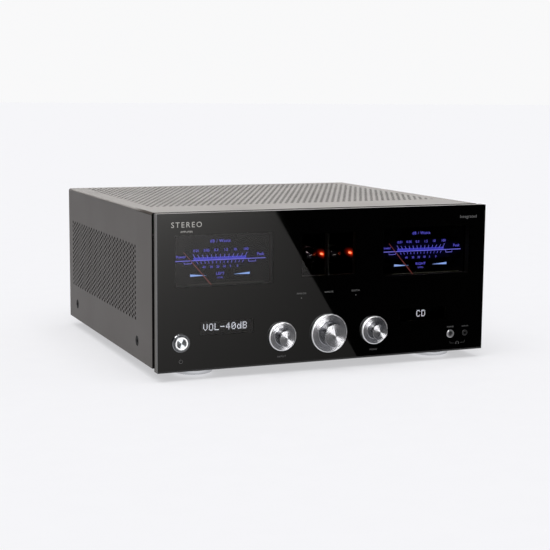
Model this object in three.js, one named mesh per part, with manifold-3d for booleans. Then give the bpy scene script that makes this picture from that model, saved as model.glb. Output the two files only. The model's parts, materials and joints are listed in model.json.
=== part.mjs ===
// Integrated hi-fi amplifier: smoked glass front with two needle meters, a window on two
// tubes, three turned knobs, a folded steel case on four feet and a socketed rear panel.
// Millimetres. The group's own frame is: +X right, +Y back, +Z up, origin under the middle.
// Inside it, y is the depth behind the front face of the glass and z the height above the
// bottom edge of the front; the group's position then sets the feet on z = 0.

import * as THREE from "three";
import { mergeVertices } from "three/addons/utils/BufferGeometryUtils.js";
import Module from "manifold-3d";

const wasm = await Module();
wasm.setup();
const { Manifold, Mesh } = wasm;

// ---------------------------------------------------------------- driving dimensions

const WIDTH = 430; // overall width, the standard hi-fi width
const FRONT_HEIGHT = 183; // glass and fascia
const FOOT_HEIGHT = 11; // floor to the bottom edge of the front
const CASE_BACK = 408; // depth at which the folded cover ends
const KNOB_REACH = 21; // how far the middle knob stands in front of the glass
const TERMINAL_REACH = 427; // depth of the loudspeaker terminal ends
const GAP = 0.3; // between pieces that touch in the real object
const SHEET = 1.5; // cover, base and rear sheet

const GLASS = [0, 3];
const FASCIA = [3.3, 12];
const BULKHEAD = [12.3, 20.1];
const COVER = [20, CASE_BACK];
const REAR = [405.5, 407];

const CONTROL_Z = 33.8; // knobs and power button
const KNOB_PITCH = 61;
const SHAFT_R = 3;
const SHAFT_BORE_R = 3.1;

const POWER_X = -187;
const POWER_TRAVEL = 2.5;
const HEADPHONE_X = 169;
const AUX_X = 190;
const JACK_Z = 21.8;

const METER_X = 133;
const METER_Z = 128; // middle of the meter window
const METER_WINDOW = [121, 60];
const NEEDLE_PIVOT_Z = 84;
const NEEDLE_LENGTH = 70;
const NEEDLE_REST_DEG = 40.8; // the resting needle leans this far to the left

const DISPLAY_X = 130;
const DISPLAY_Z = 49;
const TUBE_X = 16.5;
const TUBE_Z = 125.5;
const TUBE_WINDOW = [72.4, 51];
const TUBE_WINDOW_Z = 129;
const LED_X = 36;
const LED_Z = 78;

const FOOT_R = 24;
const FOOT_X = 160;
const FOOT_Y = [37, 353];
const SCREW_Y = [80, 366];
const SCREW_Z = 24;

const SPEAKER_Z = 26;
const SPEAKER_PITCH = 25;
const MAINS_X = -178;
const ROCKER_Z = 52;
const ROCKER_AXIS_Y = 409;

// ---------------------------------------------------------------- materials

const paints = {
  glass: [0x0c0c0d, 0.1, 0.05],
  fascia: [0x6a6864, 0.6, 0.4],
  cover: [0x66625e, 0.4, 0.5],
  steel: [0x8a8d8f, 0.8, 0.4],
  black: [0x161616, 0.1, 0.6],
  aluminium: [0xc9cacc, 0.9, 0.3],
  chrome: [0xd8dadc, 1.0, 0.1],
  board: [0x1d4a2c, 0.0, 0.6],
  dial: [0x10121c, 0.0, 0.5],
  needle: [0x8f3030, 0.0, 0.5],
  copper: [0x6f4a2b, 0.3, 0.5],
  red: [0xa02222, 0.0, 0.4],
};
const materials = Object.fromEntries(
  Object.entries(paints).map(([name, [color, metalness, roughness]]) => [
    name,
    new THREE.MeshStandardMaterial({ color, metalness, roughness }),
  ]),
);

// ---------------------------------------------------------------- shape helpers

// A three.js geometry as a closed solid: seams welded, zero-area triangles dropped.
function solid(geometry) {
  const bare = new THREE.BufferGeometry();
  bare.setAttribute("position", geometry.getAttribute("position"));
  bare.setIndex(geometry.index);
  const welded = mergeVertices(bare, 1e-4);
  const corners = [];
  for (let i = 0; i < welded.index.count; i += 3) {
    const [a, b, c] = [0, 1, 2].map((k) => welded.index.getX(i + k));
    if (a !== b && b !== c && c !== a) corners.push(a, b, c);
  }
  return new Manifold(
    new Mesh({
      numProp: 3,
      vertProperties: Float32Array.from(welded.attributes.position.array),
      triVerts: Uint32Array.from(corners),
    }),
  );
}

// A box given by its limits on each axis.
function block(x, y, z) {
  const box = new THREE.BoxGeometry(x[1] - x[0], y[1] - y[0], z[1] - z[0]);
  box.translate((x[0] + x[1]) / 2, (y[0] + y[1]) / 2, (z[0] + z[1]) / 2);
  return solid(box);
}

// A box given by its middle and size in X and Z, and its limits in Y.
function panel(x, z, width, height, y) {
  return block([x - width / 2, x + width / 2], y, [z - height / 2, z + height / 2]);
}

// Round rods along each axis, given by their centre line, radius and limits.
function rodY(x, z, r, y, sides = 16) {
  const rod = new THREE.CylinderGeometry(r, r, y[1] - y[0], sides);
  rod.translate(x, (y[0] + y[1]) / 2, z);
  return solid(rod);
}

function rodZ(x, y, r, z, sides = 16) {
  const rod = new THREE.CylinderGeometry(r, r, z[1] - z[0], sides);
  rod.rotateX(Math.PI / 2);
  rod.translate(x, y, (z[0] + z[1]) / 2);
  return solid(rod);
}

function rodX(y, z, r, x, sides = 16) {
  const rod = new THREE.CylinderGeometry(r, r, Math.abs(x[1] - x[0]), sides);
  rod.rotateZ(Math.PI / 2);
  rod.translate((x[0] + x[1]) / 2, y, z);
  return solid(rod);
}

// A solid of revolution about the Y axis, from [radius, y] points that start and end on
// the axis. Its points run from the back to the front.
function turned(points, sides = 24) {
  const profile = points.map(([r, y]) => new THREE.Vector2(r, y)).reverse();
  return facingOut(new THREE.LatheGeometry(profile, sides));
}

// The same about the Z axis, from [radius, z] points.
function turnedUp(points, sides = 24) {
  const profile = points.map(([r, z]) => new THREE.Vector2(r, z));
  const lathe = new THREE.LatheGeometry(profile, sides);
  lathe.rotateX(Math.PI / 2);
  return facingOut(lathe);
}

// A flat outline of [x, z] points drawn out along Y.
function drawnOut(outline, y) {
  const shape = new THREE.Shape(outline.map(([x, z]) => new THREE.Vector2(x, z)));
  const bar = new THREE.ExtrudeGeometry(shape, { depth: y[1] - y[0], bevelEnabled: false });
  bar.rotateX(Math.PI / 2);
  bar.translate(0, y[1], 0);
  return facingOut(bar);
}

// A flat outline of [x, y] points drawn up along Z.
function drawnUp(outline, z) {
  const shape = new THREE.Shape(outline.map(([x, y]) => new THREE.Vector2(x, y)));
  const bar = new THREE.ExtrudeGeometry(shape, { depth: z[1] - z[0], bevelEnabled: false });
  bar.translate(0, 0, z[0]);
  return facingOut(bar);
}

// Turns a geometry's triangles round if the solid they make has its faces pointing in.
function facingOut(geometry) {
  const made = solid(geometry);
  if (made.volume() > 0) return made;
  const index = geometry.index
    ? Array.from(geometry.index.array)
    : Array.from({ length: geometry.attributes.position.count }, (_, i) => i);
  for (let i = 0; i < index.length; i += 3) {
    [index[i + 1], index[i + 2]] = [index[i + 2], index[i + 1]];
  }
  geometry.setIndex(index);
  return solid(geometry);
}

const join = (...bodies) => Manifold.union(bodies.flat());
const cut = (body, ...tools) => Manifold.difference([body, ...tools.flat()]);

const amplifier = new THREE.Group();
amplifier.name = "integrated_amplifier";

// Adds a solid to the amplifier as a named piece, set down and turned in its place.
function piece(name, body, paint, position = [0, 0, 0], rotation = [0, 0, 0]) {
  const { numProp, vertProperties, triVerts } = body.getMesh();
  const points = new Float32Array(triVerts.length * 3);
  triVerts.forEach((v, i) => {
    for (let k = 0; k < 3; k += 1) points[i * 3 + k] = vertProperties[v * numProp + k];
  });
  const geometry = new THREE.BufferGeometry();
  geometry.setAttribute("position", new THREE.BufferAttribute(points, 3));
  geometry.computeVertexNormals();
  const mesh = new THREE.Mesh(geometry, materials[paint]);
  mesh.name = name;
  mesh.position.set(...position);
  mesh.rotation.set(...rotation);
  amplifier.add(mesh);
}

// The two sides of the amplifier, seen from the front, and their sign along X.
const SIDES = [
  ["left", -1],
  ["right", 1],
];

// ---------------------------------------------------------------- front glass and fascia

const knobs = [
  { name: "input", x: -KNOB_PITCH, flange: 17.3, barrel: 10, reach: 18 },
  { name: "volume", x: 0, flange: 23.4, barrel: 14.2, reach: KNOB_REACH },
  { name: "menu", x: KNOB_PITCH, flange: 17.3, barrel: 10, reach: 18 },
];

piece(
  "front_glass",
  cut(
    block([-WIDTH / 2, WIDTH / 2], GLASS, [0, FRONT_HEIGHT]),
    knobs.map(({ x }) => rodY(x, CONTROL_Z, 5, [-1, 5])),
    rodY(POWER_X, CONTROL_Z, 10.25, [-1, 5], 24),
    rodY(HEADPHONE_X, JACK_Z, 5.5, [-1, 5]),
    rodY(AUX_X, JACK_Z, 4.1, [-1, 5]),
  ),
  "glass",
);

piece(
  "fascia_frame",
  cut(
    block([-WIDTH / 2, WIDTH / 2], FASCIA, [0, FRONT_HEIGHT]),
    SIDES.flatMap(([, side]) => [
      panel(side * METER_X, METER_Z, ...METER_WINDOW, [2, 13]),
      panel(side * DISPLAY_X, DISPLAY_Z, 68, 17, [2, 13]),
      panel(
        (side * (TUBE_WINDOW[0] + 2)) / 4,
        TUBE_WINDOW_Z,
        TUBE_WINDOW[0] / 2 - 1,
        TUBE_WINDOW[1],
        [2, 13],
      ),
      rodY(side * LED_X, LED_Z, 1.6, [2, 13], 10),
    ]),
    knobs.map(({ x }) => rodY(x, CONTROL_Z, 5.5, [2, 13])),
    rodY(POWER_X, CONTROL_Z, 11.2, [2, 13], 24),
    rodY(HEADPHONE_X, JACK_Z, 5.6, [2, 13]),
    rodY(AUX_X, JACK_Z, 4.2, [2, 13]),
  ),
  "fascia",
);

// A shallow tray: its rim is the dark step between the fascia and the cover.
piece(
  "front_bulkhead",
  cut(
    block([-211.5, 211.5], BULKHEAD, [4.2, 180]),
    block([-209.5, 209.5], [12, 18.5], [6.2, 178]),
    SIDES.flatMap(([, side]) => panel(side * METER_X, 117, 131, 91, [18, 21])),
    panel(0, TUBE_WINDOW_Z, 80, 58, [18, 21]),
    knobs.map(({ x }) => rodY(x, CONTROL_Z, 4.8, [18, 21])),
    rodY(POWER_X, CONTROL_Z, 6, [18, 21]),
    panel(HEADPHONE_X, JACK_Z, 17, 17, [18, 21]),
    panel(AUX_X, JACK_Z, 12, 12, [18, 21]),
  ),
  "black",
);

// ---------------------------------------------------------------- case

const coverInside = WIDTH / 2 - SHEET;

// The U-shaped cover, folded from one sheet with a small bend at each top edge.
function coverOutline(inset) {
  const [x, top, bend] = [WIDTH / 2 - inset, FRONT_HEIGHT - inset, 3 - inset];
  const corner = [0, 22.5, 45, 67.5, 90].map((deg) => (deg * Math.PI) / 180);
  return [
    ...corner.map((a) => [-x + bend - bend * Math.cos(a), top - bend + bend * Math.sin(a)]),
    ...corner.reverse().map((a) => [x - bend + bend * Math.cos(a), top - bend + bend * Math.sin(a)]),
  ];
}

piece(
  "top_cover",
  cut(
    drawnOut(
      [
        [-WIDTH / 2, 2],
        ...coverOutline(0),
        [WIDTH / 2, 2],
        [coverInside, 2],
        ...coverOutline(SHEET).reverse(),
        [-coverInside, 2],
      ],
      COVER,
    ),
    SIDES.flatMap(([, side]) =>
      SCREW_Y.map((y) => rodX(y, SCREW_Z, 6.2, [side * 212, side * 217])),
    ),
  ),
  "cover",
);

// The base, with an upright flange along each side and the posts the boards stand on.
const boardPosts = [
  ...SIDES.flatMap(([, side]) => [
    [side * 90, 150],
    [side * 90, 320],
    [side * 136, 150],
    [side * 136, 320],
  ]),
  [-70, 208],
  [70, 208],
  [-70, 322],
  [70, 322],
];
const flange = coverInside - GAP;

piece(
  "base_pan",
  cut(
    join(
      block([-flange, flange], [20.9, 405.2], [2, 3.5]),
      block([-flange, SHEET - flange], [20.9, 405.2], [2, 36]),
      block([flange - SHEET, flange], [20.9, 405.2], [2, 36]),
      boardPosts.map(([x, y]) => rodZ(x, y, 3.5, [3, 13.6], 8)),
    ),
    SIDES.flatMap(([, side]) =>
      SCREW_Y.map((y) => rodX(y, SCREW_Z, 2.3, [side * 209, side * 215])),
    ),
  ),
  "steel",
);

// A flat-headed screw along X: its head fills the cover's hole, just below flush.
const coverScrew = cut(
  join(rodX(0, 0, 5.9, [-1.5, -0.2]), rodX(0, 0, 1.9, [-11, -1.4], 12)),
  rodX(0, 0, 2.3, [-1.1, 1], 6),
);

// A turned foot with a chamfered tread and a rounded shoulder.
const foot = turnedUp(
  [
    [0, -FOOT_HEIGHT],
    [FOOT_R - 2.5, -FOOT_HEIGHT],
    [FOOT_R, -8.5],
    [FOOT_R, -1],
    [FOOT_R - 2, 1.7],
    [0, 1.7],
  ],
  28,
);

SIDES.forEach(([name, side]) => {
  ["front", "rear"].forEach((end, i) => {
    piece(
      `cover_screw_${name}_${end}`,
      coverScrew,
      "black",
      [(side * WIDTH) / 2, SCREW_Y[i], SCREW_Z],
      [0, 0, side > 0 ? 0 : Math.PI],
    );
    piece(`foot_${name}_${end}`, foot, "chrome", [side * FOOT_X, FOOT_Y[i], 0]);
  });
});

// ---------------------------------------------------------------- knobs and controls

// A wide flange close to the glass, a straight barrel and a flat turned face, bored from
// behind for its shaft.
knobs.forEach(({ name, x, flange: r, barrel, reach }) => {
  const place = [x, 0, CONTROL_Z];
  piece(
    `${name}_knob`,
    cut(
      turned(
        [
          [0, -0.9],
          [r, -0.9],
          [r, -3.2],
          [r - 0.8, -4],
          [barrel + 1.2, -3.4],
          [barrel, -5],
          [barrel, 0.8 - reach],
          [barrel - 0.8, -reach],
          [0, -reach],
        ],
        32,
      ),
      rodY(0, 0, SHAFT_R + GAP, [2 - reach, 0]),
    ),
    "aluminium",
    place,
  );
  piece(`${name}_shaft`, rodY(0, 0, SHAFT_R, [2.6 - reach, 26]), "steel", place);
  piece(
    `${name}_encoder`,
    cut(
      join(panel(0, 0, 15, 15, [20.5, 29]), rodY(0, 0, 4.4, [13.5, 21])),
      rodY(0, 0, SHAFT_BORE_R, [13, 27]),
    ),
    "steel",
    place,
  );
});

// The board behind the controls; the block behind the power button is its switch.
piece(
  "control_board",
  join(
    block([-200, 200], [29.4, 31], [12, 58]),
    panel(POWER_X, CONTROL_Z, 12, 12, [POWER_TRAVEL + 24.9, 30]),
    [-110, -95, 95, 110].map((x) => panel(x, 24, 10, 8, [26, 30])),
  ),
  "board",
);

// The button's stem ends one travel and a gap in front of the switch.
piece(
  "power_button",
  turned([
    [0, 24.6],
    [3, 24.6],
    [3, 5.5],
    [10.2, 5.5],
    [10.2, 4],
    [8.9, 4],
    [8.9, -2.4],
    [8.1, -3.2],
    [0, -3.6],
  ]),
  "chrome",
  [POWER_X, 0, CONTROL_Z],
);

piece(
  "power_bezel",
  cut(
    turned([
      [0, 3.6],
      [9.95, 3.6],
      [9.95, -0.3],
      [10.75, -0.3],
      [10.75, -1.4],
      [10.2, -1.9],
      [0, -1.9],
    ]),
    rodY(0, 0, 9.2, [-3, 5], 24),
  ),
  "chrome",
  [POWER_X, 0, CONTROL_Z],
);

// A front-panel jack: a bored collar through the glass and a housing behind the fascia.
function jack(name, x, { collar, bore, depth, housing, paint }) {
  piece(
    name,
    cut(
      join(
        turned([
          [0, 13],
          [collar, 13],
          [collar, -0.5],
          [collar - 0.4, -0.9],
          [0, -0.9],
        ]),
        panel(0, 0, housing, housing, [12.4, 28]),
      ),
      rodY(0, 0, bore, [-2, depth]),
    ),
    paint,
    [x, 0, JACK_Z],
  );
}
const fullSize = { collar: 5.15, bore: 3.25, depth: 26.5, housing: 16, paint: "chrome" };
const miniature = { collar: 3.8, bore: 1.85, depth: 15, housing: 11, paint: "black" };
jack("headphone_jack", HEADPHONE_X, fullSize);
jack("aux_jack", AUX_X, miniature);

// ---------------------------------------------------------------- meters and displays

const pegs = [-57, 57].flatMap((x) => [98, 153].map((z) => [x, z]));

// An open-fronted case with pegs for the dial and a bored block for the needle's axle.
const meterCase = cut(
  join(
    cut(block([-64, 64], [12.4, 46], [73, 161]), block([-62, 62], [12, 44], [75, 159])),
    pegs.map(([x, z]) => rodY(x, z, 2.5, [18.3, 45], 8)),
    block([-12, 12], [19, 45], [76.5, 91.5]),
  ),
  rodY(0, NEEDLE_PIVOT_Z, 1.58, [18, 27]),
);

// A tapering upright pointer with a hub, a short tail and the axle it turns on.
const needle = join(
  drawnOut(
    [
      [-1.5, -8],
      [1.5, -8],
      [0.75, 4],
      [0.35, NEEDLE_LENGTH],
      [-0.35, NEEDLE_LENGTH],
      [-0.75, 4],
    ],
    [14.9, 15.5],
  ),
  rodY(0, 0, 4.5, [14.6, 16]),
  rodY(0, 0, 1.5, [15.8, 26]),
);

// A display module: its lit face stands forward into the fascia's window.
const display = join(panel(0, 0, 76, 24, [12.4, 18]), panel(0, 0, 67, 16, [8, 13]));

SIDES.forEach(([name, side]) => {
  const x = side * METER_X;
  const lean = THREE.MathUtils.degToRad(-NEEDLE_REST_DEG);
  piece(`meter_case_${name}`, meterCase, "black", [x, 0, 0]);
  piece(`meter_dial_${name}`, block([-61.6, 61.6], [17, 18], [93, 158.6]), "dial", [x, 0, 0]);
  piece(`meter_needle_${name}`, needle, "needle", [x, 0, NEEDLE_PIVOT_Z], [0, lean, 0]);
  piece(`display_${name}`, display, "black", [side * DISPLAY_X, 0, DISPLAY_Z]);
});

// ---------------------------------------------------------------- tubes

// The tubes lie on their sides, domes to the front, in a two-cell shroud.
piece(
  "tube_shroud",
  cut(
    panel(0, TUBE_WINDOW_Z, 78, 56, [12.4, 50]),
    [-1, 1].map((side) => panel(side * 19, TUBE_WINDOW_Z, 36, 53, [12, 48.5])),
    [-1, 1].map((side) => rodY(side * TUBE_X, TUBE_Z, 11.8, [48, 51], 24)),
  ),
  "black",
);

const pinAngles = Array.from({ length: 9 }, (_, i) => (i * Math.PI * 2) / 10);
const tube = join(
  turned([
    [0, 67],
    [9.5, 67],
    [11, 64],
    [11, 27],
    [10.2, 22.5],
    [7.5, 19.6],
    [3.5, 17.8],
    [0, 17.4],
  ]),
  pinAngles.map((a) => rodY(5.95 * Math.cos(a), 5.95 * Math.sin(a), 0.5, [66, 73], 4)),
);
SIDES.forEach(([name, side]) => {
  piece(`tube_${name}`, tube, "glass", [side * TUBE_X, 0, TUBE_Z]);
});

// The upright board behind them, with a socket for each: a ring groove takes the pins.
piece(
  "tube_board",
  cut(
    join(
      panel(0, TUBE_Z, 84, 52, [76, 77.6]),
      SIDES.map(([, side]) => rodY(side * TUBE_X, TUBE_Z, 11, [67.6, 76.5])),
    ),
    SIDES.map(([, side]) =>
      cut(
        rodY(side * TUBE_X, TUBE_Z, 7, [67, 74.5]),
        rodY(side * TUBE_X, TUBE_Z, 4.9, [66, 75]),
      ),
    ),
  ),
  "board",
);

// ---------------------------------------------------------------- power supply and amplifier

// A toroidal transformer with its dished clamping washer and bolt.
piece(
  "transformer",
  turnedUp(
    [
      [0, 3.9],
      [56, 3.9],
      [64, 14],
      [64, 52],
      [56, 62],
      [36, 62],
      [34, 65],
      [8, 63],
      [8, 69],
      [0, 69],
    ],
    28,
  ),
  "copper",
  [0, 125, 0],
);

// Fins drawn upwards from a base plate that the output transistors face.
function heatsinkOutline(side) {
  const [inner, plate, tip] = [150, 156, 204];
  const points = [
    [inner, 140],
    [inner, 330],
  ];
  for (let i = 11; i >= 0; i -= 1) {
    const y = 140 + i * 17.0;
    const end = Math.min(y + 3, 330);
    points.push([i === 11 ? tip : plate, end], [tip, end], [tip, y], [plate, y]);
  }
  return points
    .filter(([px, py], i) => i === 0 || px !== points[i - 1][0] || py !== points[i - 1][1])
    .map(([px, py]) => [side * px, py]);
}

SIDES.forEach(([name, side]) => {
  const span = (a, b) => [side * a, side * b].sort((p, q) => p - q);
  piece(`heatsink_${name}`, drawnUp(heatsinkOutline(side), [4, 136]), "aluminium");
  piece(
    `amp_board_${name}`,
    join(
      block(span(82, 146), [140, 330], [13.9, 15.5]),
      [160, 205, 250, 295].map((y) => block(span(144.6, 149.6), [y, y + 16], [14, 40])),
      [175, 220, 265].map((y) => rodZ(side * 128, y, 6, [15, 34], 12)),
      block(span(88, 104), [285, 313], [15, 31]),
    ),
    "board",
  );
});

// The rectifier and smoothing board with four large capacitors.
piece(
  "supply_board",
  join(
    block([-78, 78], [198, 330], [13.9, 15.5]),
    [-25, 25].flatMap((x) => [232, 285].map((y) => rodZ(x, y, 17.5, [15, 66]))),
    block([48, 72], [222, 252], [15, 38]),
  ),
  "board",
);

// ---------------------------------------------------------------- rear panel and sockets

const lineSockets = [20, 45, 70, 95, 120].flatMap((x) => [104, 126].map((z) => [x, z]));
const speakerPosts = Array.from({ length: 8 }, (_, i) => (i - 3.5) * SPEAKER_PITCH);

piece(
  "rear_panel",
  cut(
    block([-flange, flange], REAR, [2, FRONT_HEIGHT - SHEET - 1]),
    panel(MAINS_X, 38, 29, 61, [405, 408]),
    panel(70, 115, 124, 46, [405, 408]),
    panel(-80, 115, 84, 24, [405, 408]),
    panel(0, SPEAKER_Z, 206, 26, [405, 408]),
  ),
  "steel",
);

// The board the line and digital sockets stand on, upright behind the rear panel.
piece("input_board", block([-140, 140], [388, 389.6], [84, 150]), "board");

// A moulded strip of coaxial sockets, each with an open middle.
piece(
  "line_sockets",
  cut(
    join(
      panel(70, 115, 123, 45, [390, 407.9]),
      lineSockets.map(([x, z]) => rodY(x, z, 4.1, [407, 417], 12)),
    ),
    lineSockets.map(([x, z]) => rodY(x, z, 1.7, [406, 418], 6)),
  ),
  "black",
);

// Two optical sockets, one coaxial socket and a square data socket in a row.
piece(
  "digital_sockets",
  cut(
    join(panel(-80, 115, 83, 23, [390, 407.9]), rodY(-68, 115, 4.1, [407, 417], 12)),
    rodY(-68, 115, 1.7, [406, 418], 6),
    [-110, -90].map((x) => panel(x, 115, 10, 9, [399, 409])),
    panel(-50, 115, 8.5, 7.8, [396, 409]),
  ),
  "black",
);

// The insulating strip for the loudspeakers, its eight posts bored for 4 mm plugs.
piece(
  "speaker_terminals",
  cut(
    join(
      panel(0, SPEAKER_Z, 205, 25, [396, 407.2]),
      panel(0, SPEAKER_Z, 212, 32, [407.3, 409.5]),
      panel(0, SPEAKER_Z, 205, 25, [407, 408]),
      speakerPosts.map((x) => rodY(x, SPEAKER_Z, SHAFT_R, [409, TERMINAL_REACH - 1])),
    ),
    speakerPosts.map((x) => rodY(x, SPEAKER_Z, 2.05, [411, TERMINAL_REACH], 8)),
  ),
  "black",
);

// Clamping caps: red and black turn about, from the left channel to the right.
const terminalCap = cut(
  turned(
    [
      [0, TERMINAL_REACH],
      [6.2, TERMINAL_REACH],
      [7.2, TERMINAL_REACH - 1.5],
      [7.2, 412.5],
      [6, 411],
      [0, 411],
    ],
    16,
  ),
  rodY(0, 0, SHAFT_BORE_R, [410, TERMINAL_REACH + 1]),
);
speakerPosts.forEach((x, i) => {
  piece(`terminal_cap_${i + 1}`, terminalCap, i % 2 ? "red" : "black", [x, 0, SPEAKER_Z]);
});

// The mains module: an open inlet with three blades below, the rocker's pocket above.
piece(
  "mains_inlet",
  join(
    cut(
      join(
        panel(MAINS_X, 38, 28, 60, [384, 407.2]),
        panel(MAINS_X, 38, 34, 68, [407.3, 410]),
        panel(MAINS_X, 38, 28, 60, [407, 408]),
      ),
      panel(MAINS_X, 22.5, 24, 16.5, [391, 411]),
      panel(MAINS_X, ROCKER_Z, 14, 22, [399, 411]),
    ),
    [
      [-7, 20.5],
      [7, 20.5],
      [0, 24.5],
    ].map(([dx, z]) => panel(MAINS_X + dx, z, 2, 4, [390, 405])),
  ),
  "black",
);

// The rocker tips about a line along X; its top end stands out while it is switched on.
piece(
  "mains_rocker",
  rockerBody(),
  "black",
  [MAINS_X, ROCKER_AXIS_Y, ROCKER_Z],
  [THREE.MathUtils.degToRad(-8), 0, 0],
);

// Upright rocker about its own axis: two faces that meet in a shallow valley.
function rockerBody() {
  const half = 9.4;
  const outline = [
    [-4, -half],
    [2.4, -half],
    [1.1, 0],
    [2.4, half],
    [-4, half],
    [-6, 3],
    [-6, -3],
  ];
  const bar = new THREE.ExtrudeGeometry(
    new THREE.Shape(outline.map(([y, z]) => new THREE.Vector2(y, z))),
    { depth: 13, bevelEnabled: false },
  );
  bar.translate(0, 0, -6.5);
  // The outline's own x and y become y and z, and its depth becomes x.
  bar.applyMatrix4(new THREE.Matrix4().set(0, 0, 1, 0, 1, 0, 0, 0, 0, 1, 0, 0, 0, 0, 0, 1));
  return facingOut(bar);
}

amplifier.position.set(0, KNOB_REACH - (KNOB_REACH + TERMINAL_REACH) / 2, FOOT_HEIGHT);

export default amplifier;
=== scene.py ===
# %% [markdown]
# # An integrated amplifier behind smoked glass
#
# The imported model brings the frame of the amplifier: where every part is, how large it is and
# what turns. This lesson gives those parts the finish they have on the real thing and builds
# the ones whose surface is the point, such as the punched cover, the turned knobs and the
# back-lit meters. The place of every part is read from the frame. Only detail that the frame
# doesn't carry, such as print, holes and grooves, brings its own measures.

import json
import math

import bmesh
import bpy
from mathutils import Matrix, Vector


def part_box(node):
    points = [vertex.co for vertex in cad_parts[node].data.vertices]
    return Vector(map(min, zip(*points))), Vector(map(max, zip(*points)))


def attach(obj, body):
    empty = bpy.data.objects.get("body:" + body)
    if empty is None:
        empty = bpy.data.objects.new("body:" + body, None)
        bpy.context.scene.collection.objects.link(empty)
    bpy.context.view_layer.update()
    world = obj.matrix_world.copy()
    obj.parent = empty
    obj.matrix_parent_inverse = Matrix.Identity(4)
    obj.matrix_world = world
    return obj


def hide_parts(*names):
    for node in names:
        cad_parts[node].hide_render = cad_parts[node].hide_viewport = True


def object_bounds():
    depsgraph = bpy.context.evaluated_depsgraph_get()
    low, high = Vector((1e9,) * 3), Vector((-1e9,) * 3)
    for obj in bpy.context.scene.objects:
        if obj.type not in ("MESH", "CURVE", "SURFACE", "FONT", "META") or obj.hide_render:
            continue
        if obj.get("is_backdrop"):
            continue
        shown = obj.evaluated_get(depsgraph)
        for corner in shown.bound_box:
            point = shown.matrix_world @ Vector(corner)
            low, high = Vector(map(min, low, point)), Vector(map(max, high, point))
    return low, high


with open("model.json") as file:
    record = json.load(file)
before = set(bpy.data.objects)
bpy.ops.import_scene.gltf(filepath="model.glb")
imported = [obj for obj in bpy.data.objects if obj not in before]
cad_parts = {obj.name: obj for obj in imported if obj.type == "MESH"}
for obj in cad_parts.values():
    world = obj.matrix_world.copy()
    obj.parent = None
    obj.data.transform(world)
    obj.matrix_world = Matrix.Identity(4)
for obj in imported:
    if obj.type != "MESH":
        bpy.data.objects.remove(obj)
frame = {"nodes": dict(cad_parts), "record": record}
cad_size = [list(corner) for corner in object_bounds()]
MM = 0.001

# %% [markdown]
# The front of the glass and the bottom edge of the front are the two datum faces that a maker
# would measure from. A place is then an X, a depth behind the glass and a height above the edge,
# all in millimetres.

# %% Places
scene = bpy.context.scene
GLASS_LOW, GLASS_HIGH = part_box("front_glass")
HALF_WIDTH = GLASS_HIGH.x / MM
FRONT_HEIGHT = (GLASS_HIGH.z - GLASS_LOW.z) / MM
SIDES = {"left": -1, "right": 1}


def at(x, depth, height):
    """A place on the amplifier, from millimetres."""
    return Vector((x * MM, GLASS_LOW.y + depth * MM, GLASS_LOW.z + height * MM))


def measured(place):
    """The X, depth and height of a place, in millimetres."""
    return place.x / MM, (place.y - GLASS_LOW.y) / MM, (place.z - GLASS_LOW.z) / MM


def middle(node):
    """The X, depth and height of the middle of a node."""
    low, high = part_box(node)
    return measured((low + high) / 2)


def depths(node):
    """How deep a node's front and back are."""
    low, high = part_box(node)
    return measured(low)[1], measured(high)[1]


print("front", round(2 * HALF_WIDTH), "x", round(FRONT_HEIGHT), "mm")

# %% [markdown]
# Blender's materials are graphs of nodes. A pattern is easier to read as a sum, so a node's
# output is wrapped in a small class that takes part in Python arithmetic, and a finish is a
# material under construction with one method that adds any node. The other methods are the
# few nodes that nearly every finish needs.

# %% Finishes as expressions
class Reading:
    """One output of a node. Arithmetic on readings adds Math nodes to the same finish."""

    def __init__(self, finish, socket):
        self.finish = finish
        self.socket = socket

    def __add__(self, other):
        return self.finish.maths("ADD", self, other)

    def __sub__(self, other):
        return self.finish.maths("SUBTRACT", self, other)

    def __rsub__(self, other):
        return self.finish.maths("SUBTRACT", other, self)

    def __mul__(self, other):
        return self.finish.maths("MULTIPLY", self, other)

    __radd__ = __add__


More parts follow.
